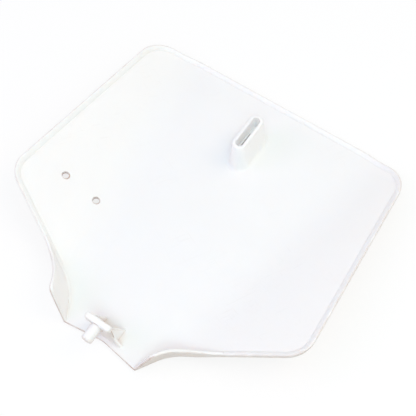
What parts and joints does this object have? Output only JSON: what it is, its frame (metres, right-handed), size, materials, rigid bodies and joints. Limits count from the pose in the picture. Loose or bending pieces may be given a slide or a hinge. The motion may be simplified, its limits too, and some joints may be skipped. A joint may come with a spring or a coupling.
{
  "type": "racing number board",
  "caption": "Moulded front number board for a motocross bike: flat shield with wings bent back, rim bead, side flanges, an oblong socket and a hook with a peg on its back.",
  "frame": {"origin": "on the surface it lies on, under the middle of its bounding box", "axes": "+X across the board, +Y up the board from its tab towards its top edge, +Z out of its back, which lies up"},
  "size_m": [0.2454, 0.2384, 0.0364],
  "materials": {
    "white_plastic": "satin moulded polypropylene"
  },
  "bodies": {
    "root": {"number_board": "white_plastic"}
  },
  "joints": []
}
